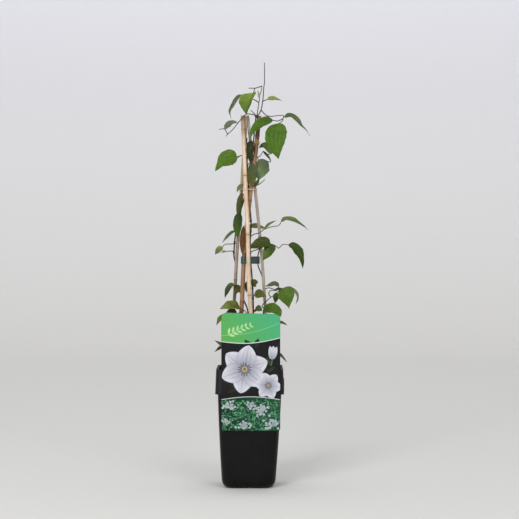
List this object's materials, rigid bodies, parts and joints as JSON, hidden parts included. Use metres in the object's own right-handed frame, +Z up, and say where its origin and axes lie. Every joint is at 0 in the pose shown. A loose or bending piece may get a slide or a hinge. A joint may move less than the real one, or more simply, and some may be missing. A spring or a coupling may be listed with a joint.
{
  "type": "potted clematis plant",
  "caption": "Young climbing clematis with leafy shoots on a wigwam of bamboo canes, in a tall square plastic pot with soil and a card label.",
  "frame": {"origin": "middle of the pot's flat underside, on the surface that the pot stands on", "axes": "+Z up along the plant, -Y towards the front of the label, +X to the right as seen from the front"},
  "size_m": [0.1697, 0.1205, 0.7474],
  "materials": {
    "pot_plastic": "injection moulded, satin black",
    "soil": "moist fibrous potting soil, wood's density stands in",
    "bamboo_pale": "dry cane with a waxy skin",
    "bamboo_brown": "dry cane with a waxy skin",
    "bamboo_grey": "dry weathered cane",
    "twine": "twisted natural fibre",
    "raffia": "dry palm fibre",
    "tape": "soft stretch tape",
    "label_card": "printed plastic card, semi-gloss",
    "foliage": "fresh leaves on thin woody shoots"
  },
  "bodies": {
    "root": {"pot": "pot_plastic", "soil": "soil", "cane_front": "bamboo_pale", "cane_front_left": "bamboo_brown", "cane_back_left": "bamboo_grey", "cane_right": "bamboo_grey", "cane_tie": "twine", "raffia_knot": "raffia", "tape_loop": "tape", "label": "label_card", "clematis_shoot_main": "foliage", "clematis_shoot_left": "foliage", "clematis_shoot_right": "foliage"}
  },
  "joints": []
}
